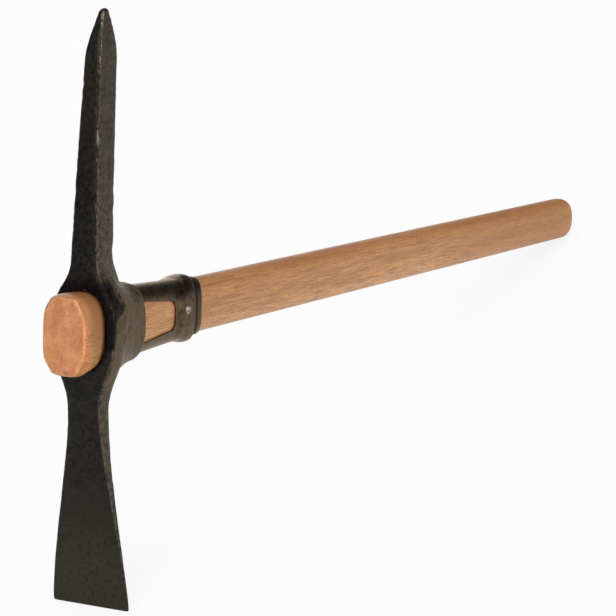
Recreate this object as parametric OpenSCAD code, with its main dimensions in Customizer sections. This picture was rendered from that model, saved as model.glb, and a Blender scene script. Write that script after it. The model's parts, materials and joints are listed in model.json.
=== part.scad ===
// Pick axe with a slip-fit wooden handle and a steel guard sleeve behind the eye.
// It stands on its blade edge and grip end: +X runs to the grip, +Z is up, Y is across.
// The pieces are drawn with the handle axis along X and the eye at the origin, then stood up together.

/* [Head] */
// Height of the point's tip above the handle axis
point_height = 262; // [200:1:320]
// Depth of the blade's edge below the handle axis
blade_depth = 234; // [180:1:290]
// How far the tip is set back towards the grip
tip_set_back = 12.5; // [0:1:24]
// How far the blade's edge is set back towards the grip
edge_set_back = 9.5; // [0:1:20]
// Thickness of the head at the eye, front to back
eye_thickness = 27; // [22:0.5:34]
// Width of the head across the eye
eye_width = 62; // [58:0.5:70]
// Height above and below the axis over which the eye keeps its width
eye_reach = 12; // [6:0.5:20]
// Height above the axis at which the point leaves the eye
neck_reach = 57; // [48:0.5:66]
// Depth below the axis at which the blade leaves the eye
low_neck_reach = 64; // [52:0.5:72]
// Thickness of the point, front to back
point_thickness = 27.6; // [18:0.2:32]
// Width of the point where it leaves the eye
point_root_width = 26.8; // [18:0.2:32]
// Width of the point where its tip begins
point_end_width = 16.4; // [10:0.2:20]
// Length of the tapered tip
tip_length = 40; // [25:1:60]
// Thickness of the blunt tip, front to back
tip_thickness = 7.2; // [4:0.2:12]
// Width of the blunt tip
tip_width = 4; // [2.5:0.1:8]
// Rounding of the blunt tip
tip_rounding = 1.2; // [0.4:0.1:2]
// Width of the blade's neck
neck_width = 32; // [24:0.2:36]
// Thickness of the blade's neck
neck_thickness = 21; // [14:0.5:26]
// Width of the blade's edge
edge_width = 74; // [50:1:100]
// Thickness of the blade's edge
edge_thickness = 1.6; // [1:0.1:3]
// Depth at which the blade begins to widen
blade_shoulder = 78; // [68:1:100]
// Length of the stretch of full width at the blade's edge
blade_parallel = 6; // [0:0.5:20]

/* [Collar behind the eye] */
// Distance from the handle axis' crossing to the collar's rear rim
collar_reach = 50; // [42:0.5:60]
// Width of the collar at its rear rim
collar_width = 47; // [46:0.5:52]
// Height of the collar at its rear rim
collar_height = 67; // [65:0.5:72]
// Length of the flare where the collar runs up into the point
point_flare = 19; // [10:0.5:26]
// Length of the flare where the collar runs down into the blade
blade_flare = 19; // [12:0.5:30]
// Height above the axis at which the back of the point begins to run out over the collar
rear_start = 63; // [56:0.5:72]
// Height over which the back of the point runs out
rear_rise = 23; // [16:0.5:30]
// How far the back of the point runs out at its foot
rear_reach = 12; // [4:0.5:16]
// How far the collar's root steps in from the eye's cheeks
cheek_step = 1; // [0.4:0.1:2]
// Rounding of the collar's rear rim
rim_rounding = 1.5; // [0.5:0.1:2]

/* [Handle] */
// Length of the handle, end to end
handle_length = 920; // [780:1:1060]
// How far the wood stands proud of the head's front
wood_proud = 25.5; // [12:0.5:40]
// Height of the wood at the front of the eye
eye_wood_height = 65; // [60:0.5:68]
// Width of the wood at the front of the eye
eye_wood_width = 45.6; // [42:0.2:47]
// Width of the wood at its thick end, before the edge is rounded
end_face_width = 45.6; // [36:0.2:46]
// Rounding of the end face's edge, across the handle
end_rounding = 4.5; // [1:0.1:8]
// Rounding of the end face's edge, along the handle
end_rounding_length = 10; // [1:0.1:11]
// Height of the handle at the grip end
grip_height = 40; // [34:0.5:43]
// Width of the handle at the grip end
grip_width = 29; // [27:0.5:31]
// Height of the handle where its flare begins
stem_height = 46.4; // [45:0.2:49]
// Width of the handle where its flare begins
stem_width = 31.6; // [30:0.2:33]
// Distance from the eye to where the flare begins
flare_start = 165; // [155:1:200]
// Rounding of the grip end
grip_rounding = 13; // [6:0.5:13]

/* [Guard sleeve] */
// Thickness of the sheet steel
sheet = 1.5; // [1.2:0.1:1.8]
// Length of the straps inside the eye
strap_overlap = 30; // [15:1:40]
// Distance from the eye to the end of the windows
window_end = 103; // [95:0.5:108]
// Height of the windows at the rear rim of the eye
window_height = 36; // [28:0.5:42]
// Height of the windows at their far end
window_end_height = 26; // [20:0.5:30]
// Corner radius of the windows
window_corner = 8; // [4:0.5:9]
// Distance from the eye to the ring's rear shoulder
ring_end = 131; // [127:0.5:136]
// Length over which the sleeve rises into the ring at the top and bottom
ring_rise = 15; // [10:0.5:20]
// Length of the ring's crest
ring_crest = 5; // [2:0.5:8]
// How far the ring bulges out of the sleeve at the sides
ring_bulge = 2; // [1:0.1:3]
// How far the ring bulges out of the sleeve at the top and bottom
ring_crown = 3.4; // [2:0.1:5]
// How much further back the ring sits at the top and bottom than at the sides
ring_set_back = 9; // [0:0.5:12]
// Length of the lip behind the ring
lip_length = 15; // [8:0.5:19]
// Length of the step from the ring down to the lip
shoulder_length = 4; // [2:0.5:6]

/* [Guard screws] */
// Distance from the eye to the screws
screw_reach = 119; // [116:0.5:122]
// Height of the screws above the handle axis
screw_height = 3; // [-6:0.5:6]
// Diameter of the screw heads
screw_head = 8.6; // [7:0.1:10]
// Height of the screw heads
screw_head_height = 2.4; // [1.5:0.1:3]
// Diameter of the screw shanks
screw_shank = 4; // [3:0.1:5]
// Length of the screw shanks under the head
screw_length = 13; // [8:0.5:14]

/* [Fits] */
// Clearance between the wood and the eye
eye_clearance = 0.15; // [0.05:0.05:0.4]
// Clearance between the sleeve and the wood
sleeve_clearance = 0.15; // [0.05:0.05:0.4]
// Clearance around the screw shanks
shank_clearance = 0.1; // [0.05:0.05:0.3]

/* [Hidden] */
sides = 40;
round_steps = 6;
over = 1;

// Places along the handle axis
head_front = -eye_thickness / 2;
wood_end = head_front - wood_proud;
grip_end = wood_end + handle_length;
sleeve_start = collar_reach - strap_overlap;
sleeve_end = ring_end + lip_length;

// Places along the head
tip_start = point_height - tip_length;
blade_full = blade_depth - blade_parallel;

// Squareness of the cross-sections: 2 is an ellipse
wood_squareness = 2.5;
end_squareness = 3.4;
steel_squareness = 8;
root_squareness = 2;
collar_squareness = 2.4;

// How far out the corners of the thick end reach, as shares of its half-sizes added up: 2 is uncut
end_corner = 1.5;

// Bend of the profiles: 1 is straight, and more starts slower
height_bend = 1.5;
width_bend = 1.8;
end_bend = 2;
point_bend = 1.6;
tip_bend = 1.4;
blade_bend = 3;
thin_bend = 1.4;
collar_bend = 2;

// How much of the blade's spread is eased at both ends, and how much the run-out narrows
spread_ease = 0.35;
rear_taper = 0.35;

function signed_power(value, power) = sign(value) * pow(abs(value), power);
function blend(a, b, share) = a + (b - a) * share;
function smooth(share) = (1 - cos(180 * min(1, max(0, share)))) / 2;
function superellipse(a, b, squareness) = [
    for (i = [0 : sides - 1])
        let (t = 360 * i / sides)
        [a * signed_power(cos(t), 2 / squareness), b * signed_power(sin(t), 2 / squareness)]
];

// A solid through rings of points, each ring counter-clockwise seen from the last one
module loft(rings) {
    count = len(rings[0]);
    last = len(rings) - 1;
    walls = [
        for (r = [0 : last - 1], i = [0 : count - 1])
            let (j = (i + 1) % count, low = r * count, high = low + count)
            each [[low + i, high + i, high + j], [low + i, high + j, low + j]]
    ];
    caps = [
        [for (i = [0 : count - 1]) i],
        [for (i = [count - 1 : -1 : 0]) last * count + i]
    ];
    polyhedron([for (ring = rings) each ring], concat(walls, caps), convexity = 4);
}

// A ring across the handle axis, with its own half-heights above and below it, and its corners cut off
function cross_ring(x, half_width, above, below, squareness, corner = 2) = [
    for (p = superellipse(1, 1, squareness))
        let (cut = min(1, corner / (abs(p[0]) + abs(p[1]))))
        [x, cut * p[0] * half_width, cut * p[1] * (p[1] > 0 ? above : below)]
];

// A ring across the head, at one height, with its back run out by a share of the rear reach
function level_ring(z, middle, half_thickness, half_width, rear = 0) = [
    for (p = superellipse(1, 1, steel_squareness))
        let (out = rear * max(0, p[0]))
        [middle + p[0] * half_thickness + out * rear_reach, p[1] * half_width * (1 - out * rear_taper), z]
];

// The wood's half-height and half-width along the handle axis
function taper_share(x) = (x - flare_start) / (grip_end - flare_start);
function flare_share(x) = max(0, flare_start - x) / (flare_start - head_front);
function wood_half_height(x) =
    blend(stem_height, grip_height, taper_share(x)) / 2
    + (eye_wood_height - blend(stem_height, grip_height, taper_share(head_front))) / 2
      * pow(flare_share(x), height_bend);
function proud_share(x) = max(0, head_front - x) / wood_proud;
function wood_half_width(x) =
    blend(stem_width, grip_width, taper_share(max(x, head_front))) / 2
    + (eye_wood_width - blend(stem_width, grip_width, taper_share(head_front))) / 2
      * pow(flare_share(max(x, head_front)), width_bend)
    - (eye_wood_width - end_face_width) / 2 * pow(proud_share(x), end_bend);
function wood_ring(x, grow = 0) = cross_ring(
    x, wood_half_width(x) + grow, wood_half_height(x) + grow, wood_half_height(x) + grow,
    blend(wood_squareness, end_squareness, proud_share(x)), blend(2, end_corner, proud_share(x)));

// The head's middle line, thickness and width by height
function head_middle(z) = z > 0
    ? tip_set_back * pow(z / point_height, point_bend)
    : edge_set_back * pow(-z / blade_depth, blade_bend);
function tip_share(z) = pow(max(0, z - tip_start) / tip_length, tip_bend);
function point_half_width(z) = blend(
    blend(point_root_width, point_end_width, (min(z, tip_start) - neck_reach) / (tip_start - neck_reach)),
    tip_width, tip_share(z)) / 2;
function blade_share(z) = min(1, max(0, -z - blade_shoulder) / (blade_full - blade_shoulder));
function blade_half_width(z) =
    blend(neck_width, edge_width, blend(blade_share(z), smooth(blade_share(z)), spread_ease)) / 2;
function shank_half_width(z) = z > 0 ? point_half_width(max(z, neck_reach)) : blade_half_width(z);
function neck_end(z) = z > 0 ? neck_reach : low_neck_reach;
function neck_share(z) = smooth((abs(z) - eye_reach) / (neck_end(z) - eye_reach));
function head_half_width(z) = blend(eye_width / 2, shank_half_width(z), neck_share(z));
function point_half_thickness(z) = blend(point_thickness, tip_thickness, tip_share(z)) / 2;
function thin_share(z) = max(0, -z - neck_reach) / (blade_depth - neck_reach);
function blade_half_thickness(z) = blend(edge_thickness, neck_thickness, pow(1 - thin_share(z), thin_bend)) / 2;
function shank_half_thickness(z) = z > 0 ? point_half_thickness(z) : blade_half_thickness(z);
function head_half_thickness(z) = blend(eye_thickness / 2, shank_half_thickness(z), neck_share(z));
function rear_share(z) =
    min(1, max(0, (rear_start - z) / rear_rise)) * smooth((z - 0.3 * collar_height) / (0.2 * collar_height));

blunt = min(tip_rounding, tip_width / 3);
point_levels = [for (i = [0 : 6]) blend(tip_start, point_height - blunt, i / 6)];
shank_levels = [for (i = [0 : 5]) blend(max(neck_reach, rear_start), tip_start, i / 6)];
blade_levels = [for (i = [0 : 15]) blend(-blade_depth, -low_neck_reach, i / 15)];
eye_levels = [for (i = [1 : 31]) blend(-low_neck_reach, max(neck_reach, rear_start), i / 32)];
head_levels = concat(blade_levels, eye_levels, shank_levels, point_levels);

module head_body() {
    body = [for (z = head_levels)
        level_ring(z, head_middle(z), head_half_thickness(z), head_half_width(z), rear_share(z))];
    top = level_ring(point_height, tip_set_back, tip_thickness / 2 - blunt, tip_width / 2 - blunt);
    loft(concat(body, [top]));
}

// The collar grows into the point and the blade as it nears the head's back
function flare_height(share, flare) = collar_height / 2 + flare * pow(1 - share, collar_bend);
function collar_half_width(share) = blend(eye_width - 2 * cheek_step, collar_width, share) / 2;
collar_root = eye_thickness / 4;

module collar() {
    smooth_reach = collar_reach - rim_rounding;
    rings = [for (i = [0 : 9])
        let (share = i / 9)
        cross_ring(
            blend(collar_root, smooth_reach, share), collar_half_width(share),
            flare_height(share, point_flare), flare_height(share, blade_flare),
            blend(root_squareness, collar_squareness, share))];
    rim = [for (a = [30 : 30 : 90])
        let (inset = rim_rounding * (1 - cos(a)))
        cross_ring(
            smooth_reach + rim_rounding * sin(a), collar_width / 2 - inset,
            collar_height / 2 - inset, collar_height / 2 - inset, collar_squareness)];
    loft(concat(rings, rim));
}

// The eye fits the wood at its front, and widens towards its rear to take the sleeve's straps
function eye_room(x) = eye_clearance
    + (sheet + sleeve_clearance) * smooth((x - head_front) / (sleeve_start - head_front));

module eye_hole() {
    places = [for (i = [0 : 6]) blend(head_front, collar_reach, i / 6)];
    loft([for (x = concat([head_front - over], places, [collar_reach + over]))
        let (inside = max(x, head_front), half_height = wood_half_height(inside) + eye_room(inside))
        cross_ring(
            x, wood_half_width(inside) + eye_room(inside), half_height, half_height, wood_squareness)]);
}

module pick_head() {
    color("#2b2a28")
    stand() difference() {
        union() {
            head_body();
            collar();
        }
        eye_hole();
    }
}

// The grip end is rounded, and the thick end has a rounded edge round its flat face
function grip_ring(a) =
    let (inset = grip_rounding * (1 - cos(a)), x = grip_end - grip_rounding + grip_rounding * sin(a))
    wood_ring(x, -inset);
function end_ring(a) =
    let (inset = end_rounding * (1 - cos(a)), x = wood_end + end_rounding_length * (1 - sin(a)))
    wood_ring(x, -inset);

module handle_wood() {
    ends = [for (i = [round_steps : -1 : 0]) end_ring(90 * i / round_steps)];
    proud = [for (share = [0.3, 0.65]) wood_ring(blend(wood_end + end_rounding_length, head_front, share))];
    flare = [for (i = [0 : 11]) wood_ring(blend(head_front, flare_start, i / 11))];
    grip = [for (i = [0 : round_steps]) grip_ring(90 * i / round_steps)];
    loft(concat(ends, proud, flare, grip));
}

module handle() {
    color("#b98a63")
    stand() difference() {
        handle_wood();
        for (side = [-1, 1]) screw_place(side) shank(screw_shank / 2 + shank_clearance, screw_length + over);
    }
}

// The sleeve's inside follows the wood, and swells out under the ring
crown_start = ring_end - ring_crest - ring_rise;
bulge_full = screw_reach - screw_head / 2;
function shoulder_share(x) = smooth((ring_end + shoulder_length - x) / shoulder_length);
function crown(x) = ring_crown * smooth((x - crown_start) / ring_rise) * shoulder_share(x);
function bulge(x) = ring_bulge * smooth((x - window_end) / (bulge_full - window_end)) * shoulder_share(x);
function set_back(x) = ring_set_back * smooth((x - collar_reach) / (window_end - collar_reach));
function sleeve_ring(x, out) = [
    for (p = superellipse(1, 1, wood_squareness))
        let (place = x + set_back(x) * (1 - p[0] * p[0]), grow = sleeve_clearance + out)
        [place, p[0] * (wood_half_width(place) + bulge(x) + grow),
         p[1] * (wood_half_height(place) + crown(x) + grow)]
];
sleeve_places = concat(
    [for (i = [0 : 5]) blend(sleeve_start, window_end, i / 5)],
    [for (i = [1 : 6]) blend(window_end, ring_end - ring_crest, i / 6)],
    [for (i = [0 : 4]) blend(ring_end, ring_end + shoulder_length, i / 4)],
    [sleeve_end]);

module sleeve_shell() {
    difference() {
        loft([for (x = sleeve_places) sleeve_ring(x, sheet)]);
        loft(concat(
            [sleeve_ring(sleeve_start - over, 0)],
            [for (x = sleeve_places) sleeve_ring(x, 0)],
            [sleeve_ring(sleeve_end + over, 0)]));
    }
}

// A window on both sides, open into the eye, with round corners at its far end
module windows() {
    corner_x = window_end - window_corner;
    corner_z = window_end_height / 2 - window_corner;
    open_x = sleeve_start - 2 * over;
    slope = (window_height - window_end_height) / 2 / (corner_x - collar_reach);
    open_z = window_end_height / 2 + slope * (corner_x - open_x);
    rotate([90, 0, 0]) linear_extrude(2 * eye_width, center = true) {
        polygon([
            [open_x, -open_z], [corner_x, -window_end_height / 2],
            [corner_x, window_end_height / 2], [open_x, open_z]]);
        translate([corner_x - over, -corner_z]) square([window_corner + over, 2 * corner_z]);
        for (side = [-1, 1]) translate([corner_x, side * corner_z]) circle(window_corner, $fn = 48);
    }
}

module handle_guard() {
    color("#35322e")
    stand() difference() {
        sleeve_shell();
        windows();
        for (side = [-1, 1]) screw_place(side)
            translate([0, 0, -2 * sheet]) cylinder(4 * sheet, r = screw_shank / 2 + shank_clearance, $fn = 48);
    }
}

// A screw's place on the ring: its own Z points out of the wood
screw_seat = wood_half_width(bulge_full) + sleeve_clearance + ring_bulge + sheet;
module screw_place(side) {
    translate([screw_reach, side * screw_seat, screw_height]) rotate([-90 * side, 0, 0]) children();
}

module shank(radius, length) {
    translate([0, 0, -length]) cylinder(length + over, r = radius, $fn = 48);
}

module screw(side) {
    dome = (pow(screw_head / 2, 2) + pow(screw_head_height, 2)) / (2 * screw_head_height);
    color("#b9b6ae")
    stand() screw_place(side) {
        shank(screw_shank / 2, screw_length);
        rotate_extrude($fn = 64) intersection() {
            translate([0, screw_head_height - dome]) circle(dome, $fn = 128);
            square([screw_head, screw_head_height]);
        }
    }
}

module left_guard_screw() {
    screw(-1);
}

module right_guard_screw() {
    screw(1);
}

// Standing up: the lean at which the blade's edge and the grip end both touch the ground
grip_half = wood_half_height(grip_end - grip_rounding) - grip_rounding;
edge_back = edge_set_back + edge_thickness / 2;
run = grip_end - grip_rounding - edge_back;
drop = blade_depth - grip_half;
lean = atan2(drop, run) - asin(grip_rounding / norm([run, drop]));
ground = edge_back * sin(lean) + blade_depth * cos(lean);
front_most = min(
    (edge_set_back - edge_thickness / 2) * cos(lean) - blade_depth * sin(lean),
    wood_end * cos(lean) - (wood_half_height(wood_end) - end_rounding) * sin(lean));
rear_most = (grip_end - grip_rounding) * cos(lean) + grip_half * sin(lean) + grip_rounding;

module stand() {
    translate([-(front_most + rear_most) / 2, 0, ground]) rotate([0, lean, 0]) children();
}

pick_head();
handle();
handle_guard();
left_guard_screw();
right_guard_screw();
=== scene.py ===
import json
from math import asin, atan2, ceil, copysign, cos, pi, radians, sin, sqrt

import bmesh
import bpy
from mathutils import Matrix, Vector, noise


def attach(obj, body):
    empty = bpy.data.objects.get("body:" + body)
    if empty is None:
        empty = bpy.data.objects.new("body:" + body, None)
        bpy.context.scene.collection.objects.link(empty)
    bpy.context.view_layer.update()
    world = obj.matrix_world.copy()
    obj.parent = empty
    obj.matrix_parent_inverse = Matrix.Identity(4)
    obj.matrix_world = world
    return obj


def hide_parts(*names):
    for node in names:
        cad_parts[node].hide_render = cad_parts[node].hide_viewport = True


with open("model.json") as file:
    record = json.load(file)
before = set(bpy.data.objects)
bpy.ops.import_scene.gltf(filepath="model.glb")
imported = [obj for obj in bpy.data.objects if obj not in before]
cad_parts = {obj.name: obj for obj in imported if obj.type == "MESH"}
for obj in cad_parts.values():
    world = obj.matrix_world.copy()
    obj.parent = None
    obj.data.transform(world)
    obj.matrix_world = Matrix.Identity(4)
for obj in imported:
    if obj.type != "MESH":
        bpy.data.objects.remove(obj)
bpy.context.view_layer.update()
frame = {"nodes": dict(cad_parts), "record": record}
print("frame loaded:", sorted(frame["nodes"]))

# The pieces are drawn in millimetres with the handle axis along X and the eye at the origin,
# the point up Z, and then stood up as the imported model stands
wood = dict(
    length=920, proud=25.5, headFront=-13.5, eyeHeight=65, eyeWidth=45.6, stemHeight=46.4, stemWidth=31.6,
    flareStart=165, heightBend=1.5, widthBend=1.8, gripHeight=40, gripWidth=29, gripRounding=16,
    gripRoundness=0.78, endRounding=4.5, endRoundingLength=10, endDrop=1.6, endCorner=1.5, squareness=2.5,
    endSquareness=3.4)
woodEnd = wood["headFront"] - wood["proud"]
gripEnd = woodEnd + wood["length"]

endFace = next(m for m in frame["record"]["mounts"] if m["name"] == "end_face")
gripWard = -Vector(endFace["axis"])
lean = atan2(-gripWard.z, gripWard.x)
mm = 0.001
eyeCentre = Vector(endFace["pos_m"]) - gripWard * woodEnd * mm
standUp = Matrix.Translation(eyeCentre) @ Matrix.Rotation(lean, 4, "Y") @ Matrix.Scale(mm, 4)


def mix(a, b, share):
    return a + (b - a) * share


def span(start, end, steps):
    return [mix(start, end, i / steps) for i in range(steps + 1)]


def smooth(share):
    return (1 - cos(pi * min(1, max(0, share)))) / 2


# 0 up to start, and 1 a run further on
def rise(value, start, run):
    return smooth((value - start) / run)


# 1 until a run before end, and 0 from end on
def fall(value, end, run):
    return smooth((end - value) / run)


def signedPower(value, power):
    return copysign(abs(value) ** power, value)


# A point of a rounded oval: squareness 2 is an ellipse, and more is boxier
def oval(turn, squareness):
    return signedPower(cos(turn), 2 / squareness), signedPower(sin(turn), 2 / squareness)


# A tube of rings: a plain tube whose rings and corners are then laid out by shapeAt(place, turn)
def tube(places, sides, shapeAt, capped=True):
    bm = bmesh.new()
    last = len(places) - 1
    bmesh.ops.create_cone(bm, cap_ends=capped, segments=sides, radius1=1, radius2=1, depth=last)
    runs = [e for e in bm.edges if abs(e.verts[0].co.z - e.verts[1].co.z) > 0.5]
    bmesh.ops.subdivide_edges(bm, edges=runs, cuts=last - 1)
    for v in bm.verts:
        v.co = shapeAt(places[round(v.co.z + last / 2)], atan2(v.co.y, v.co.x))
    bmesh.ops.recalc_face_normals(bm, faces=bm.faces)
    return bm


def meshObject(bm, name):
    mesh = bpy.data.meshes.new(name)
    bm.to_mesh(mesh)
    bm.free()
    piece = bpy.data.objects.new(name, mesh)
    bpy.context.scene.collection.objects.link(piece)
    return piece


# The mesh that a piece's modifiers make, with the piece itself taken away
def worked(piece):
    bpy.context.view_layer.update()
    seen = piece.evaluated_get(bpy.context.evaluated_depsgraph_get())
    bm = bmesh.new()
    bm.from_mesh(seen.to_mesh())
    seen.to_mesh_clear()
    bpy.data.objects.remove(piece)
    return bm


def addBoolean(piece, tool, operation):
    cut = piece.modifiers.new(operation.lower(), "BOOLEAN")
    cut.object = tool
    cut.operation = operation
    cut.solver = "EXACT"
    cut.use_self = True
    tool.hide_render = True


def settle(bm, name, node, material):
    bmesh.ops.transform(bm, matrix=standUp, verts=bm.verts)
    for f in bm.faces:
        f.smooth = True
    piece = meshObject(bm, name)
    piece.data.materials.append(material)
    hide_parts(node)
    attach(piece, "root")
    print("piece", name, len(piece.data.vertices), "vertices")


# A shader socket that takes part in sums
class Sock:
    def __init__(self, tree, socket=None):
        self.tree = tree
        self.socket = socket

    def node(self, kind, settings=None, inputs=None, output=0):
        made = self.tree.nodes.new(kind)
        for name, setting in (settings or {}).items():
            setattr(made, name, setting)
        for name, value in (inputs or {}).items():
            if isinstance(value, Sock):
                self.tree.links.new(value.socket, made.inputs[name])
            else:
                made.inputs[name].default_value = value
        return Sock(self.tree, made.outputs[output])

    def maths(self, operation, a, b):
        return self.node("ShaderNodeMath", {"operation": operation}, {0: a, 1: b})

    def __add__(self, other):
        return self.maths("ADD", self, other)

    def __radd__(self, other):
        return self.maths("ADD", other, self)

    def __sub__(self, other):
        return self.maths("SUBTRACT", self, other)

    def __rsub__(self, other):
        return self.maths("SUBTRACT", other, self)

    def __mul__(self, other):
        return self.maths("MULTIPLY", self, other)

    def __rmul__(self, other):
        return self.maths("MULTIPLY", other, self)

    # 0 at low and 1 at high, whichever is the larger
    def step(self, low, high):
        return self.node(
            "ShaderNodeMapRange", {"interpolation_type": "SMOOTHSTEP"},
            {"Value": self, "From Min": low, "From Max": high})

    # 1 between low and high, fading out over soft on both sides
    def band(self, low, high, soft):
        return self.step(low - soft, low) * self.step(high + soft, high)

    def tint(self, a, b):
        return self.node("ShaderNodeMix", {"data_type": "RGBA"}, {0: self, 6: a, 7: b}, 2)


def rgb(red, green, blue):
    return tuple(c / 12.92 if c < 0.04045 else ((c + 0.055) / 1.055) ** 2.4
                 for c in (red / 255, green / 255, blue / 255)) + (1,)


# A new material, its shader node, and its coordinates in the tool's own millimetres
def newMaterial(name):
    material = bpy.data.materials.new(name)
    material.use_nodes = True
    shader = material.node_tree.nodes["Principled BSDF"]
    start = Sock(material.node_tree)
    place = start.node(
        "ShaderNodeMapping", {"vector_type": "TEXTURE"},
        {"Vector": start.node("ShaderNodeTexCoord", output="Object"), "Location": eyeCentre,
         "Rotation": (0, lean, 0), "Scale": (mm, mm, mm)})
    return material, shader, place


# Noise with grains of the given size in millimetres along X, Y and Z
def grain(place, size, detail=2.0, rough=0.5, twist=0.0, shift=0.0):
    spread = place.node(
        "ShaderNodeMapping", {},
        {"Vector": place, "Location": (shift, shift, shift), "Scale": tuple(1 / s for s in size)})
    return spread.node(
        "ShaderNodeTexNoise", {},
        {"Vector": spread, "Scale": 1.0, "Detail": detail, "Roughness": rough, "Distortion": twist})


# A value painted on the vertices
def painted(place, name):
    return place.node("ShaderNodeAttribute", {"attribute_name": name}, output="Fac")


def plug(shader, **values):
    tree = shader.id_data
    for name, value in values.items():
        socket = shader.inputs[name.replace("_", " ")]
        if isinstance(value, Sock):
            tree.links.new(value.socket, socket)
        else:
            socket.default_value = value


def bumped(height, distance, strength):
    return height.node("ShaderNodeBump", {}, {"Height": height, "Distance": distance, "Strength": strength})


# The wood's half-height and half-width along the handle, which the eye and the guard follow
def woodTaper(x):
    return (x - wood["flareStart"]) / (gripEnd - wood["flareStart"])


def woodFlare(x):
    return max(0, wood["flareStart"] - x) / (wood["flareStart"] - wood["headFront"])


def proudShare(x):
    return max(0, wood["headFront"] - x) / wood["proud"]


def woodHalfHeight(x):
    front = mix(wood["stemHeight"], wood["gripHeight"], woodTaper(wood["headFront"]))
    stem = mix(wood["stemHeight"], wood["gripHeight"], woodTaper(x))
    return stem / 2 + (wood["eyeHeight"] - front) / 2 * woodFlare(x) ** wood["heightBend"]


def woodHalfWidth(x):
    held = max(x, wood["headFront"])
    front = mix(wood["stemWidth"], wood["gripWidth"], woodTaper(wood["headFront"]))
    stem = mix(wood["stemWidth"], wood["gripWidth"], woodTaper(held))
    return stem / 2 + (wood["eyeWidth"] - front) / 2 * woodFlare(held) ** wood["widthBend"]


# Head
head = dict(
    pointHeight=262, bladeDepth=234, tipSetBack=12.5, edgeSetBack=9.5, pointBend=1.6, bladeBend=3,
    eyeThickness=27, eyeWidth=62, eyeReach=12, neckReach=57, lowNeckReach=64, lowTaper=0.053, lowTaperRun=14,
    pointThickness=27.6, pointRootWidth=26.8, pointEndWidth=16.4, tipLength=40, tipThickness=7.2, tipWidth=4,
    tipRounding=2.4, tipBend=1.4, tipLeast=0.02, neckWidth=32, neckThickness=21, edgeWidth=74,
    edgeThickness=1.6, bladeShoulder=78, bladeParallel=6, spreadEase=0.35, thinBend=1.4, squareness=8,
    rearTop=63, rearRun=23, rearReach=12, rearTaper=0.35, rearFoot=20, rearFootRun=14, collarReach=50,
    collarWidth=47, collarHeight=67, flare=19, flareBend=2, rimRounding=1.5, cheekStep=1, lowStep=2.2,
    stepRun=0.5, rootSquareness=2, collarSquareness=2.4, eyeClearance=0.15, strapRoom=1.65, sleeveStart=20,
    eyeMargin=1.08)
headCuts = dict(
    sides=64, levels=120, tipLevels=6, collarRings=24, rimTurns=(20, 40, 60, 80), eyeRings=20, eyeOver=2)
throat = dict(  # the part below the eye that is smoothed
    front=-9, frontRun=8, back=40, backRun=14, top=6, topRun=20, bottom=-85, bottomRun=25)
web = dict(front=8, frontRun=6, foot=30, top=72, run=8, share=0.8)  # the same behind the point's root
forging = dict(
    voxel=1.15, smoothing=4, throatSmoothing=30, hammerDepth=0.35, blowSize=17, smallBlowSize=8,
    smallBlowShare=0.5, scaleDepth=0.12, scaleSize=3.2, chipDepth=1.3, chipSize=6, chipScale=0.3,
    chipBias=0.1, chipStart=60, chipStartRun=30, chipEndRun=20, thinBelow=6, flatCurve=0.03, ridgeCurve=0.08)
# the dark coat: black lacquer on faces turned along X, and the cheek keys place a painted shade beside the
# eye
lacquerAndShade = dict(
    facing=0.5, facingRun=0.35, wearRun=140, blade=0.5, side=0.25, sideRun=80, cheekUpper=9, upperStart=9,
    upperRun=10, cheekMiddle=-5, middleStart=-22, middleRun=14, cheekLow=-16, cheekSlant=0.15, slantStart=8,
    cheekRun=5, cheekTop=48, cheekTopRun=14)
tipStart = head["pointHeight"] - head["tipLength"]
collarRoot = head["eyeThickness"] / 4
smoothReach = head["collarReach"] - head["rimRounding"]


def headMiddle(z):
    if z > 0:
        return head["tipSetBack"] * (z / head["pointHeight"]) ** head["pointBend"]
    return head["edgeSetBack"] * (-z / head["bladeDepth"]) ** head["bladeBend"]


def tipShare(z):
    return (max(0, z - tipStart) / head["tipLength"]) ** head["tipBend"]


def pointHalfWidth(z):
    share = (min(z, tipStart) - head["neckReach"]) / (tipStart - head["neckReach"])
    return mix(mix(head["pointRootWidth"], head["pointEndWidth"], share), head["tipWidth"], tipShare(z)) / 2


def bladeHalfWidth(z):
    full = head["bladeDepth"] - head["bladeParallel"]
    share = min(1, max(0, -z - head["bladeShoulder"]) / (full - head["bladeShoulder"]))
    return mix(head["neckWidth"], head["edgeWidth"], mix(share, smooth(share), head["spreadEase"])) / 2


def bladeHalfThickness(z):
    thin = max(0, -z - head["neckReach"]) / (head["bladeDepth"] - head["neckReach"])
    return mix(head["edgeThickness"], head["neckThickness"], max(0, 1 - thin) ** head["thinBend"]) / 2


def neckShare(z):
    reach = head["neckReach"] if z > 0 else head["lowNeckReach"]
    return rise(abs(z), head["eyeReach"], reach - head["eyeReach"])


# The blade is drawn at its neck's thickness, and thinned to its edge once the mesh is even
def bodyRing(z, turn):
    shankWidth = pointHalfWidth(max(z, head["neckReach"])) if z > 0 else bladeHalfWidth(z)
    thickPoint = mix(head["pointThickness"], head["tipThickness"], tipShare(z)) / 2
    thick = thickPoint if z > 0 else head["neckThickness"] / 2
    halfWidth = mix(head["eyeWidth"] / 2, shankWidth, neckShare(z))
    halfThick = mix(head["eyeThickness"] / 2, thick, neckShare(z))
    past = max(0, z - head["pointHeight"] + head["tipRounding"]) / head["tipRounding"]
    blunt = sqrt(max(head["tipLeast"], 1 - past ** 2))
    x, y = oval(turn, head["squareness"])
    taper = 1 - head["lowTaper"] * (1 + x) * smooth(0.5 - z / head["lowTaperRun"]) * (1 - neckShare(z))
    rear = max(0, x) * min(1, max(0, (head["rearTop"] - z) / head["rearRun"]))
    rear *= rise(z, head["rearFoot"], head["rearFootRun"])
    reach = headMiddle(z) + x * halfThick * blunt + head["rearReach"] * rear
    return reach, y * halfWidth * blunt * taper * (1 - head["rearTaper"] * rear), z


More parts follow.
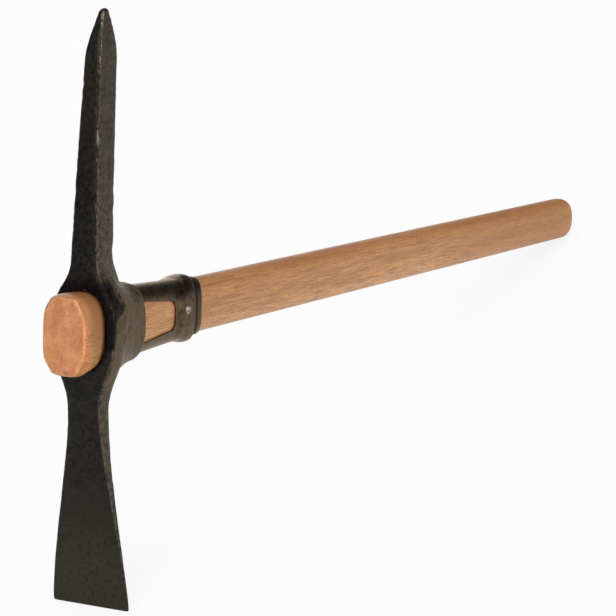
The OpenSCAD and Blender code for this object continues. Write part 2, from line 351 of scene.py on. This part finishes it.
def collarRing(x, turn):
    share = min(1, (x - collarRoot) / (smoothReach - collarRoot))
    past = max(0, x - smoothReach)
    inset = head["rimRounding"] - sqrt(max(0, head["rimRounding"] ** 2 - past ** 2))
    y, z = oval(turn, mix(head["rootSquareness"], head["collarSquareness"], share))
    cheekStep = mix(head["lowStep"], head["cheekStep"], smooth(z / head["stepRun"] + 0.5))
    halfWidth = mix(head["eyeWidth"] - 2 * cheekStep, head["collarWidth"], share) / 2 - inset
    halfHeight = head["collarHeight"] / 2 + head["flare"] * (1 - share) ** head["flareBend"] - inset
    return x, y * halfWidth, z * halfHeight


def eyeRoom(x):
    run = head["sleeveStart"] - wood["headFront"]
    return head["eyeClearance"] + head["strapRoom"] * rise(x, wood["headFront"], run)


def eyeRing(x, turn):
    inside = min(max(x, wood["headFront"]), head["collarReach"])
    y, z = oval(turn, wood["squareness"])
    return x, y * (woodHalfWidth(inside) + eyeRoom(inside)), z * (woodHalfHeight(inside) + eyeRoom(inside))


def inEye(point):
    y = abs(point.y) / (woodHalfWidth(point.x) + eyeRoom(point.x))
    z = abs(point.z) / (woodHalfHeight(point.x) + eyeRoom(point.x))
    return y ** wood["squareness"] + z ** wood["squareness"] < head["eyeMargin"]


# How much a place belongs to the throat, where the collar runs into the blade, or to the web behind the point
def throatShare(place):
    if inEye(place):
        return 0
    across = rise(place.x, throat["front"], throat["frontRun"])
    across *= fall(place.x, throat["back"], throat["backRun"])
    below = across * fall(place.z, throat["top"], throat["topRun"])
    below *= rise(place.z, throat["bottom"], throat["bottomRun"])
    behind = rise(place.x, web["front"], web["frontRun"]) * rise(place.z, web["foot"], web["run"])
    behind *= fall(place.z, web["top"], web["run"])
    return max(below, web["share"] * behind)


def soften(bm, verts):
    bmesh.ops.smooth_vert(bm, verts=verts, factor=0.5, use_axis_x=True, use_axis_y=True, use_axis_z=True)


def makeHead(material):
    sides = headCuts["sides"]
    tip = span(head["pointHeight"] - head["tipRounding"], head["pointHeight"], headCuts["tipLevels"])
    levels = span(-head["bladeDepth"], tip[0], headCuts["levels"]) + tip[1:]
    body = meshObject(tube(levels, sides, bodyRing), "headBody")
    rim = [smoothReach + head["rimRounding"] * sin(radians(a)) for a in headCuts["rimTurns"]]
    collarPlaces = span(collarRoot, smoothReach, headCuts["collarRings"]) + rim
    collar = meshObject(tube(collarPlaces, sides, collarRing), "collar")
    over = headCuts["eyeOver"]
    eyePlaces = span(wood["headFront"] - over, head["collarReach"] + over, headCuts["eyeRings"])
    eye = meshObject(tube(eyePlaces, sides, eyeRing), "eye")
    addBoolean(body, collar, "UNION")
    addBoolean(body, eye, "DIFFERENCE")
    remesh = body.modifiers.new("even", "REMESH")
    remesh.mode = "VOXEL"
    remesh.voxel_size = forging["voxel"]
    bm = worked(body)
    bpy.data.objects.remove(collar)
    bpy.data.objects.remove(eye)
    for i in range(forging["smoothing"]):
        soften(bm, bm.verts)
    shares = [(v, throatShare(v.co)) for v in bm.verts]
    for i in range(forging["throatSmoothing"]):
        soften(bm, [v for v, share in shares if share > i / forging["throatSmoothing"]])
    neck = head["neckThickness"] / 2
    for v in bm.verts:
        if v.co.z < -head["neckReach"]:
            middle = headMiddle(v.co.z)
            v.co.x = middle + (v.co.x - middle) * bladeHalfThickness(v.co.z) / neck
    bm.normal_update()
    paintHead(bm)
    hammer(bm)
    settle(bm, "pick_head_forging", "pick_head", material)


# How sharp the surface is, for the worn edges, and where the coat is painted dark: black lacquer on the broad
# faces, and painted shade on the cheek beside the eye
def paintHead(bm):
    edge = bm.verts.layers.float.new("edgeWear")
    black = bm.verts.layers.float.new("lacquerAndShade")
    cheekShade = bm.verts.layers.float.new("cheekShade")
    for v in bm.verts:
        away = [(e.other_vert(v).co - v.co).normalized() for e in v.link_edges]
        curve = sum(-v.normal.dot(a) for a in away) / len(away)
        v[edge] = rise(curve, forging["flatCurve"], forging["ridgeCurve"] - forging["flatCurve"])
        broad = rise(abs(v.normal.x), lacquerAndShade["facing"], lacquerAndShade["facingRun"])
        used = rise(abs(v.co.z), head["neckReach"], lacquerAndShade["wearRun"])
        middle = rise(v.co.z, lacquerAndShade["middleStart"], lacquerAndShade["middleRun"])
        cheekEnd = mix(lacquerAndShade["cheekLow"], lacquerAndShade["cheekMiddle"], middle)
        upper = rise(v.co.z, lacquerAndShade["upperStart"], lacquerAndShade["upperRun"])
        cheekEnd = mix(cheekEnd, lacquerAndShade["cheekUpper"], upper)
        cheekEnd -= lacquerAndShade["cheekSlant"] * max(0, v.co.z - lacquerAndShade["slantStart"])
        # painted shade: the cheek beside the eye's front is marked to be painted near black
        v[cheekShade] = fall(v.co.x, cheekEnd, lacquerAndShade["cheekRun"])
        v[cheekShade] *= fall(v.co.z, lacquerAndShade["cheekTop"], lacquerAndShade["cheekTopRun"])
        low = lacquerAndShade["side"] * rise(-v.co.z, head["bladeShoulder"], lacquerAndShade["sideRun"])
        v[black] = max(broad * mix(1, lacquerAndShade["blade"], used), v[cheekShade], low)


# Hammer marks and scale on the outside, and chips out of the point's ridges
def hammer(bm):
    edge = bm.verts.layers.float["edgeWear"]
    moves = []
    for v in bm.verts:
        if inEye(v.co) and wood["headFront"] < v.co.x < head["collarReach"]:
            continue
        thin = min(1, bladeHalfThickness(v.co.z) / forging["thinBelow"]) if v.co.z < 0 else 1
        blows = noise.noise(v.co / forging["blowSize"])
        blows += forging["smallBlowShare"] * noise.noise(v.co / forging["smallBlowSize"])
        scale = noise.noise(v.co / forging["scaleSize"])
        ridge = v[edge] * rise(v.co.z, forging["chipStart"], forging["chipStartRun"])
        ridge *= fall(v.co.z, tipStart, forging["chipEndRun"])
        rough = noise.noise(v.co / forging["chipSize"]) + forging["chipScale"] * scale
        chip = ridge * max(0, rough + forging["chipBias"])
        depth = blows * forging["hammerDepth"] + scale * forging["scaleDepth"] - chip * forging["chipDepth"]
        moves.append((v, v.normal * thin * depth))
    for v, move in moves:
        v.co += move


def forgedSteel():
    material, shader, place = newMaterial("forgedSteel")
    patches = grain(place, (22, 22, 40), detail=3).step(0.35, 0.65)
    mottle = grain(place, (6, 4, 4), detail=4, rough=0.62)
    pits = grain(place, (2, 1.4, 1.4), detail=2)
    spots = (mottle * 0.7 + pits * 0.3).step(0.39, 0.61)
    wear, coatAndShade, cheekShade = (painted(place, name) for name in ("edgeWear", "lacquerAndShade", "cheekShade"))
    height = place.node("ShaderNodeSeparateXYZ", {}, {"Vector": place}, "Z")
    eye = height.band(-34, 24, 22)
    chips = grain(place, (6, 6, 10), detail=3, rough=0.7, shift=5)
    worn = (wear * 0.5 + (chips - 0.5) * 1.2).step(0.46, 0.62) * height.step(-90, -20)
    bare = spots.tint(patches.tint(rgb(46, 41, 36), rgb(43, 42, 36)), rgb(86, 79, 66))
    bare = (height.step(60, 160) * 0.45).tint(bare, rgb(46, 43, 38))  # the point's upper part
    bare = eye.tint(bare, spots.tint(rgb(49, 39, 28), rgb(96, 79, 57)))  # browner round the eye
    black = spots.tint(patches.tint(rgb(32, 29, 30), rgb(31, 33, 31)), rgb(50, 46, 42))
    # painted shade: the marked cheek is painted near black
    black = (cheekShade * 0.95).tint(black, spots.tint(rgb(10, 9, 11), rgb(26, 24, 23)))
    coatAndShadeMask = (coatAndShade + (spots - 0.5) * 0.35).step(0.2, 0.8)
    colour = (worn * 0.8).tint(coatAndShadeMask.tint(bare, black), rgb(122, 112, 99))
    plug(shader, Base_Color=colour, Metallic=0.75, Roughness=0.32 + spots * 0.18 - worn * 0.06,
         Specular_IOR_Level=0.25, Specular_Tint=(1, 0.93, 0.83, 1),
         Normal=bumped(mottle * 0.7 + pits * 0.3, 0.0006, 0.9))
    return material


# Handle
handleCuts = dict(sides=96, ringEvery=7, rounding=8, endRings=(0.95, 0.8, 0.5))


def woodRing(x, turn):
    past = max(0, x - gripEnd + wood["gripRounding"]) / wood["gripRounding"]
    shrink = 1 - wood["gripRoundness"] * (1 - sqrt(max(0, 1 - past ** 2)))
    front = max(0, woodEnd + wood["endRoundingLength"] - x) / wood["endRoundingLength"]
    inset = wood["endRounding"] * (1 - sqrt(max(0, 1 - front ** 2)))
    y, z = oval(turn, mix(wood["squareness"], wood["endSquareness"], proudShare(x)))
    corner = mix(2, wood["endCorner"], proudShare(x))  # 2 leaves the corners whole
    shrink *= min(1, corner / (abs(y) + abs(z)))
    drop = wood["endDrop"] * proudShare(x)
    return x, y * shrink * (woodHalfWidth(x) - inset), z * shrink * (woodHalfHeight(x) - inset) - drop


def makeHandle(material):
    quarter = [radians(90 * i / handleCuts["rounding"]) for i in range(handleCuts["rounding"] + 1)]
    places = [woodEnd + wood["endRoundingLength"] * (1 - sin(a)) for a in reversed(quarter)]
    straightEnd = gripEnd - wood["gripRounding"]
    run = straightEnd - places[-1]
    places += span(places[-1], straightEnd, ceil(run / handleCuts["ringEvery"]))[1:]
    places += [straightEnd + wood["gripRounding"] * sin(a) for a in quarter[1:]]
    bm = tube(places, handleCuts["sides"], woodRing)
    sawnFace = min((f for f in bm.faces if len(f.verts) > 4), key=lambda f: f.calc_center_median().x)
    for share in handleCuts["endRings"]:
        sawnFace = bmesh.ops.extrude_discrete_faces(bm, faces=[sawnFace])["faces"][0]
        toMiddle = Matrix.Translation(-sawnFace.calc_center_median())
        bmesh.ops.scale(bm, verts=sawnFace.verts, vec=(1, share, share), space=toMiddle)
    settle(bm, "handle_shaft", "handle", material)


endSpots = [  # marks on the sawn end
    dict(across=-2.5, height=-31, size=3.5, share=0.7, colour=rgb(134, 62, 34)),
    dict(across=14, height=-18, size=9, share=0.6, colour=rgb(204, 148, 76))]


def handleWood():
    material, shader, place = newMaterial("handleWood")
    fibres = grain(place, (26, 1.4, 1.4), detail=4, rough=0.65, twist=0.4)
    flecks = grain(place, (6, 1, 1), detail=2, rough=0.5, shift=7).step(0.56, 0.68)
    bands = grain(place, (150, 9, 9), detail=3, twist=0.8, shift=3)
    cloud = grain(place, (20, 12, 12), detail=2, shift=2)
    along = place.node("ShaderNodeSeparateXYZ", {}, {"Vector": place}, "X") - woodEnd
    height = place.node("ShaderNodeSeparateXYZ", {}, {"Vector": place}, "Z")
    sawn = along + (cloud - 0.5) * 1.2  # the edge of the sawn face is a little ragged
    cutEnd = sawn.step(1.0, 0.3)
    # the rim round the sawn face: partly paler rasped wood, partly a painted highlight
    rim = sawn.band(0.5, 1.1, 0.6)
    stub = along.step(wood["proud"] + 6, wood["proud"] - 4)
    side = bands.step(0.3, 0.7).tint(rgb(171, 117, 69), rgb(198, 144, 91))
    # painted light: the lower side is lighter, as if lit from the floor
    side = (height.step(-3, -16) * 0.6).tint(side, rgb(216, 166, 115))
    side = (along.step(560, 860) * 0.6).tint(side, rgb(164, 103, 46))
    # the proud stub's sides: an ochre tone, with painted shade from the head darkening it, most towards the
    # top
    stubSide = height.step(-24, 4).tint(rgb(184, 136, 82), rgb(152, 104, 58))
    side = stub.tint(side, along.step(3, 11).tint(rgb(196, 126, 68), stubSide))
    # painted shade: the top of the side is darker
    side = (height.step(4, 20) * 0.35).tint(side, rgb(146, 92, 50))
    side = fibres.step(0.24, 0.62).tint(rgb(140, 90, 52), side)
    side = (flecks * 0.55).tint(side, rgb(124, 79, 46))
    # painted shade: the wood is darkened where it meets the head's front
    creviceShade = along.band(wood["proud"] - 1, wood["proud"] + 2, 2.5)
    side = (creviceShade * 0.75).tint(side, rgb(58, 40, 26))
    speck = grain(place, (5, 2.2, 2.2), detail=3, rough=0.6, shift=11)
    end = (speck * 0.5 + cloud * 0.5).step(0.34, 0.64).tint(rgb(196, 122, 76), rgb(224, 151, 105))
    pores = grain(place, (3, 2, 1.2), detail=2, shift=21).step(0.58, 0.7)
    end = (pores * 0.4).tint(end, rgb(170, 96, 60))
    for spot in endSpots:
        middle = (woodEnd, spot["across"], spot["height"])
        away = place.node("ShaderNodeVectorMath", {"operation": "DISTANCE"}, {0: place, 1: middle}, "Value")
        near = (away + speck * 2).step(spot["size"] + 1, spot["size"] / 2)
        end = (near * spot["share"]).tint(end, spot["colour"])
    # paler on the rim: partly rasped wood, partly a painted highlight
    rimHighlightColour = bands.step(0.4, 0.6).tint(rgb(208, 150, 88), rgb(230, 176, 136))
    colour = (rim * 0.6).tint(cutEnd.tint(side, end), rimHighlightColour)
    plug(shader, Base_Color=colour, Roughness=0.38 + fibres * 0.2, Specular_IOR_Level=0.45,
         Normal=bumped(fibres - flecks * 0.5, 0.0002, 0.5))
    return material


# Guard sleeve
guard = dict(
    sheet=1.5, start=20, windowStart=50, windowEnd=103, windowHeight=36, windowEndHeight=26, windowCorner=8,
    ringEnd=131, ringRise=15, ringCrest=5, ringBulge=2, ringCrown=3.4, ringSetBack=9, lipLength=15,
    shoulder=4, clearance=0.15, rimBevel=0.4, rimAngle=50)
guardCuts = dict(sides=96, gapColumns=2, strapRings=20, cornerRings=10, ringRings=40, lipRings=6, hair=0.01)
guardPaint = dict(  # painted shade in the step behind the ring, and along the top by the sine of the turn a dark lacquer band that is partly painted shade
    shadeStart=-4.5, shadeStartRun=3, shadeEnd=7, shadeEndRun=4, ringTop=0.6, ringTopRun=10, topStart=0.2,
    topRun=0.3, crest=0.93, crestRun=0.12)
screw = dict(
    reach=119, height=3, headWidth=8.6, headHeight=2.4, shank=4, length=13, tipLength=1.5, rimInset=0.2,
    rimDrop=0.1, crossWidth=1.1, crossReach=2.6, crossDepth=1.5, crossTurn=20, sides=48, domeSteps=10)
bulgeFull = screw["reach"] - screw["headWidth"] / 2
gapTurn = 2 * pi / guardCuts["sides"] * guardCuts["gapColumns"]


def shoulderShare(x):
    return fall(x, guard["ringEnd"] + guard["shoulder"], guard["shoulder"])


def crown(x):
    start = guard["ringEnd"] - guard["ringCrest"] - guard["ringRise"]
    return guard["ringCrown"] * rise(x, start, guard["ringRise"]) * shoulderShare(x)


def bulge(x):
    run = bulgeFull - guard["windowEnd"]
    return guard["ringBulge"] * rise(x, guard["windowEnd"], run) * shoulderShare(x)


def windowHalf(x):
    corner = guard["windowEnd"] - guard["windowCorner"]
    if x > corner:
        flat = guard["windowEndHeight"] / 2 - guard["windowCorner"]
        return flat + sqrt(max(0, guard["windowCorner"] ** 2 - (x - corner) ** 2))
    share = (x - guard["windowStart"]) / (corner - guard["windowStart"])
    return mix(guard["windowHeight"], guard["windowEndHeight"], share) / 2


# The straps' columns close up to the edges of the window
def sleeveRing(x, turn):
    grow = guard["clearance"] + guard["sheet"]
    if x < guard["windowEnd"] - guardCuts["hair"]:
        edge = asin((windowHalf(x) / (woodHalfHeight(x) + grow)) ** (wood["squareness"] / 2))
        share = (abs(turn) - gapTurn) / (pi - 2 * gapTurn)
        turn = copysign(mix(edge, pi - edge, share), turn)
    y, z = oval(turn, wood["squareness"])
    windowLength = guard["windowEnd"] - guard["windowStart"]
    place = x + guard["ringSetBack"] * rise(x, guard["windowStart"], windowLength) * (1 - y * y)
    return place, y * (woodHalfWidth(place) + bulge(x) + grow), z * (woodHalfHeight(place) + crown(x) + grow)


def makeGuard(material):
    corner = guard["windowEnd"] - guard["windowCorner"]
    turns = [radians(90 * i / guardCuts["cornerRings"]) for i in range(1, guardCuts["cornerRings"] + 1)]
    straps = span(guard["start"], corner, guardCuts["strapRings"])
    straps += [corner + guard["windowCorner"] * sin(a) for a in turns]
    step = guard["ringEnd"] + guard["shoulder"]
    ring = span(guard["windowEnd"], step, guardCuts["ringRings"])[1:]
    lip = span(step, guard["ringEnd"] + guard["lipLength"], guardCuts["lipRings"])[1:]
    places = straps + ring + lip
    bm = tube(places, guardCuts["sides"], lambda place, turn: (place, cos(turn), sin(turn)), capped=False)
    gap = [f for f in bm.faces if f.calc_center_median().x < guard["windowEnd"]
           and asin(min(1, abs(f.calc_center_median().z))) < gapTurn]
    bmesh.ops.delete(bm, geom=gap, context="FACES")
    stepShadeLayer = bm.verts.layers.float.new("grooveShade")
    black = bm.verts.layers.float.new("lacquerAndShade")
    for v in bm.verts:
        # painted shade: the step behind the ring is marked to be darkened
        v[stepShadeLayer] = rise(v.co.x, step + guardPaint["shadeStart"], guardPaint["shadeStartRun"])
        v[stepShadeLayer] *= fall(v.co.x, step + guardPaint["shadeEnd"], guardPaint["shadeEndRun"])
        turn = atan2(v.co.z, v.co.y)
        # along the top a dark band: partly lacquer, partly painted shade on the upper rounding and the ring's
        # top
        ringTop = guardPaint["ringTop"] * rise(v.co.x, guard["windowEnd"], guardPaint["ringTopRun"])
        flank = fall(sin(turn), guardPaint["crest"], guardPaint["crestRun"])
        v[black] = rise(sin(turn), guardPaint["topStart"], guardPaint["topRun"]) * max(ringTop, flank)
        v.co = sleeveRing(v.co.x, turn)
    bmesh.ops.recalc_face_normals(bm, faces=bm.faces)
    middles = [(f.normal, f.calc_center_median()) for f in bm.faces]
    outward = sum(normal.y * middle.y + normal.z * middle.z for normal, middle in middles)
    if outward < 0:
        bmesh.ops.reverse_faces(bm, faces=bm.faces)
    bmesh.ops.solidify(bm, geom=bm.faces[:], thickness=guard["sheet"])
    sharp = radians(guard["rimAngle"])
    rims = [e for e in bm.edges if len(e.link_faces) == 2 and e.calc_face_angle() > sharp]
    bmesh.ops.bevel(
        bm, geom=rims, offset=guard["rimBevel"], affect="EDGES", segments=2, profile=0.5, material=-1)
    settle(bm, "handle_guard_sleeve", "handle_guard", material)


def guardSteel():
    material, shader, place = newMaterial("guardSteel")
    mottle = grain(place, (4, 4, 4), detail=4, rough=0.6)
    fine = grain(place, (0.9, 0.9, 0.9), detail=2)
    grooveShade = painted(place, "grooveShade")
    coatAndShade = painted(place, "lacquerAndShade")
    spots = (mottle * 0.7 + fine * 0.3).step(0.36, 0.64)
    colour = spots.tint(rgb(58, 47, 35), rgb(94, 78, 58))
    # near black on the top band: lacquer with painted shade
    colour = (coatAndShade * 0.75).tint(colour, spots.tint(rgb(22, 19, 21), rgb(44, 40, 38)))
    # painted shade in the step behind the ring
    colour = (grooveShade * 0.8).tint(colour, rgb(24, 20, 18))
    plug(shader, Base_Color=colour, Metallic=0.75, Roughness=0.22 + mottle * 0.16 + grooveShade * 0.3,
         Specular_IOR_Level=0.25, Specular_Tint=(1, 0.88, 0.77, 1),
         Normal=bumped(mottle * 0.6 + fine * 0.4, 0.0002, 0.5))
    return material


# Guard screws: a domed head with a cross recess on a plain shank
def makeScrew(side, name, node, material):
    half = screw["headWidth"] / 2
    dome = (half ** 2 + screw["headHeight"] ** 2) / (2 * screw["headHeight"])
    sweep = asin(half / dome)
    turns = [sweep * i / screw["domeSteps"] for i in range(screw["domeSteps"] + 1)]
    outline = [(dome * sin(a), screw["headHeight"] - dome + dome * cos(a)) for a in turns]
    radius = screw["shank"] / 2
    outline += [
        (half - screw["rimInset"], -screw["rimDrop"]), (radius, -screw["rimDrop"]),
        (radius, screw["tipLength"] - screw["length"]), (0, -screw["length"])]
    bm = bmesh.new()
    points = [bm.verts.new((r, 0, h)) for r, h in outline]
    edges = [bm.edges.new(pair) for pair in zip(points, points[1:])]
    bmesh.ops.spin(
        bm, geom=points + edges, cent=(0, 0, 0), axis=(0, 0, 1), angle=2 * pi, steps=screw["sides"],
        use_merge=True)
    bmesh.ops.remove_doubles(bm, verts=bm.verts, dist=0.001)
    bmesh.ops.recalc_face_normals(bm, faces=bm.faces)
    body = meshObject(bm, "screwBody")
    cross = bmesh.new()
    barSize = (2 * screw["crossReach"], screw["crossWidth"], 2 * screw["crossDepth"])
    for turn in (screw["crossTurn"], screw["crossTurn"] + 90):
        bar = bmesh.ops.create_cube(cross, size=1)["verts"]
        bmesh.ops.scale(cross, verts=bar, vec=barSize)
        bmesh.ops.translate(cross, verts=bar, vec=(0, 0, screw["headHeight"]))
        bmesh.ops.rotate(cross, verts=bar, matrix=Matrix.Rotation(radians(turn), 3, "Z"))
    recess = meshObject(cross, "recess")
    addBoolean(body, recess, "DIFFERENCE")
    bm = worked(body)
    bpy.data.objects.remove(recess)
    seat = woodHalfWidth(bulgeFull) + guard["clearance"] + guard["ringBulge"] + guard["sheet"]
    place = Matrix.Translation((screw["reach"], side * seat, screw["height"]))
    bmesh.ops.transform(bm, matrix=place @ Matrix.Rotation(-side * pi / 2, 4, "X"), verts=bm.verts)
    settle(bm, name, node, material)


def screwSteel():
    material, shader, place = newMaterial("screwSteel")
    scratch = grain(place, (0.5, 0.5, 2.5), detail=3)
    colour = scratch.step(0.3, 0.7).tint(rgb(112, 107, 98), rgb(176, 171, 161))
    plug(shader, Base_Color=colour, Metallic=1.0, Roughness=0.34 + scratch * 0.2)
    return material


makeHead(forgedSteel())
makeHandle(handleWood())
makeGuard(guardSteel())
brightSteel = screwSteel()
makeScrew(-1, "left_screw", "left_guard_screw", brightSteel)
makeScrew(1, "right_screw", "right_guard_screw", brightSteel)

# Stage: a white floor under soft boxes of light, and the camera where the photograph was taken
stage = dict(
    floorSize=60, floorColour=0.92, floorGlow=0.85, haze=0.07, horizon=0.2, horizonHeight=0.1, boxFade=0.15)
softBoxes = [  # azimuth and elevation, half-width in degrees, and strength
    dict(azimuth=190, elevation=46, spread=25, strength=2.8),
    dict(azimuth=35, elevation=60, spread=25, strength=1.3),
    dict(azimuth=45, elevation=14, spread=15, strength=3.4),
    dict(azimuth=245, elevation=60, spread=25, strength=0.8),
    dict(azimuth=278, elevation=6, spread=24, strength=4.2)]
view = dict(  # metres and degrees, then the focal length and the width in pixels, and the film in millimetres
    place=(-2.6409, -1.5954, 1.2969), aim=(-0.0643, 0, 0.1157), roll=-5.82, focal=3600, width=616, sensor=36,
    farthest=100)


# To the camera and in reflections the floor is mostly a glowing white, and it keeps a soft shadow
def makeFloor():
    bm = bmesh.new()
    bmesh.ops.create_grid(bm, x_segments=1, y_segments=1, size=stage["floorSize"] / 2)
    floor = meshObject(bm, "floor")
    material = bpy.data.materials.new("palePaper")
    material.use_nodes = True
    tree = material.node_tree
    shader = tree.nodes["Principled BSDF"]
    plug(shader, Base_Color=(stage["floorColour"],) * 3 + (1,), Roughness=1.0, Specular_IOR_Level=0.0)
    start = Sock(tree)
    paper = Sock(tree, shader.outputs[0])
    glow = start.node("ShaderNodeEmission", {}, {"Color": (1, 1, 1, 1), "Strength": 1.0})
    seen = start.node("ShaderNodeLightPath", output="Is Camera Ray")
    for kind in ("Glossy", "Transmission"):
        seen = start.maths("MAXIMUM", seen, start.node("ShaderNodeLightPath", output=f"Is {kind} Ray"))
    surface = start.node("ShaderNodeMixShader", {}, {0: seen * stage["floorGlow"], 1: paper, 2: glow})
    tree.links.new(surface.socket, tree.nodes["Material Output"].inputs["Surface"])
    floor.data.materials.append(material)


def makeWorld():
    world = bpy.data.worlds.new("studio")
    bpy.context.scene.world = world
    world.use_nodes = True
    tree = world.node_tree
    way = Sock(tree).node("ShaderNodeTexCoord", output="Generated")
    up = way.node("ShaderNodeSeparateXYZ", {}, {"Vector": way}, "Z")
    light = up.step(2 * stage["horizonHeight"], stage["horizonHeight"]) * stage["horizon"] + stage["haze"]
    for box in softBoxes:
        turn, tilt = radians(box["azimuth"]), radians(box["elevation"])
        axis = (cos(turn) * cos(tilt), sin(turn) * cos(tilt), sin(tilt))
        near = way.node("ShaderNodeVectorMath", {"operation": "DOT_PRODUCT"}, {0: way, 1: axis}, "Value")
        edge = radians(box["spread"])
        outer, inner = edge * (1 + stage["boxFade"]), edge * (1 - stage["boxFade"])
        light = light + near.step(cos(outer), cos(inner)) * box["strength"]
    tree.links.new(light.socket, tree.nodes["Background"].inputs["Strength"])
    plug(tree.nodes["Background"], Color=(1, 1, 1, 1))


def addCamera():
    lens = bpy.data.cameras.new("photoView")
    lens.sensor_width = view["sensor"]
    lens.lens = view["focal"] / view["width"] * lens.sensor_width
    lens.clip_end = view["farthest"]
    camera = bpy.data.objects.new("photoView", lens)
    look = Vector(view["aim"]) - Vector(view["place"])
    turn = look.to_track_quat("-Z", "Y").to_matrix() @ Matrix.Rotation(radians(view["roll"]), 3, "Z")
    camera.matrix_world = Matrix.Translation(view["place"]) @ turn.to_4x4()
    bpy.context.scene.collection.objects.link(camera)
    bpy.context.scene.camera = camera


makeFloor()
makeWorld()
addCamera()
bpy.context.scene.view_settings.view_transform = "Standard"
print("stage, light and camera set")
